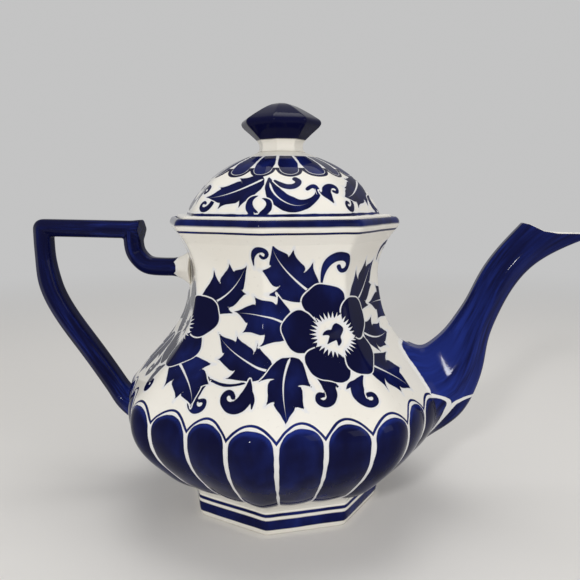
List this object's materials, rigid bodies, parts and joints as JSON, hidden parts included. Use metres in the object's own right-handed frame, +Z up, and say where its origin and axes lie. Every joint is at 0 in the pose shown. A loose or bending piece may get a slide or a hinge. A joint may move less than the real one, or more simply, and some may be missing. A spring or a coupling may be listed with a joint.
{
  "type": "teapot",
  "caption": "Octagonal porcelain teapot with a gadrooned belly, angular handle, curved six-sided spout and a lift-off domed lid, painted in blue on white",
  "frame": {"origin": "in the plane of the foot, under the middle of the overall length from the handle's back to the spout's tip; the pot's own axis is at X = -7.4 mm, Y = 0", "axes": "+X is the spout's direction, -X the handle's, +Z is up; the octagon has a corner on +X"},
  "size_m": [0.2828, 0.166, 0.2],
  "materials": {
    "painted_porcelain": "warm white glaze over blue brush painting",
    "cobalt_glaze": "brushed cobalt blue under a clear glossy glaze"
  },
  "bodies": {
    "pot": {"pot_body": "painted_porcelain", "foot_ring": "painted_porcelain", "mouth_rim": "painted_porcelain", "spout": "cobalt_glaze", "handle": "cobalt_glaze"},
    "lid": {"lid_flange": "painted_porcelain", "lid_collar": "painted_porcelain", "lid_dome": "painted_porcelain", "lid_knob": "painted_porcelain"}
  },
  "joints": [
    {"name": "lid_lift", "type": "slide", "parent": "pot", "child": "lid", "axis": [0, 0, 1], "range_m": [0, 0.08]}
  ]
}
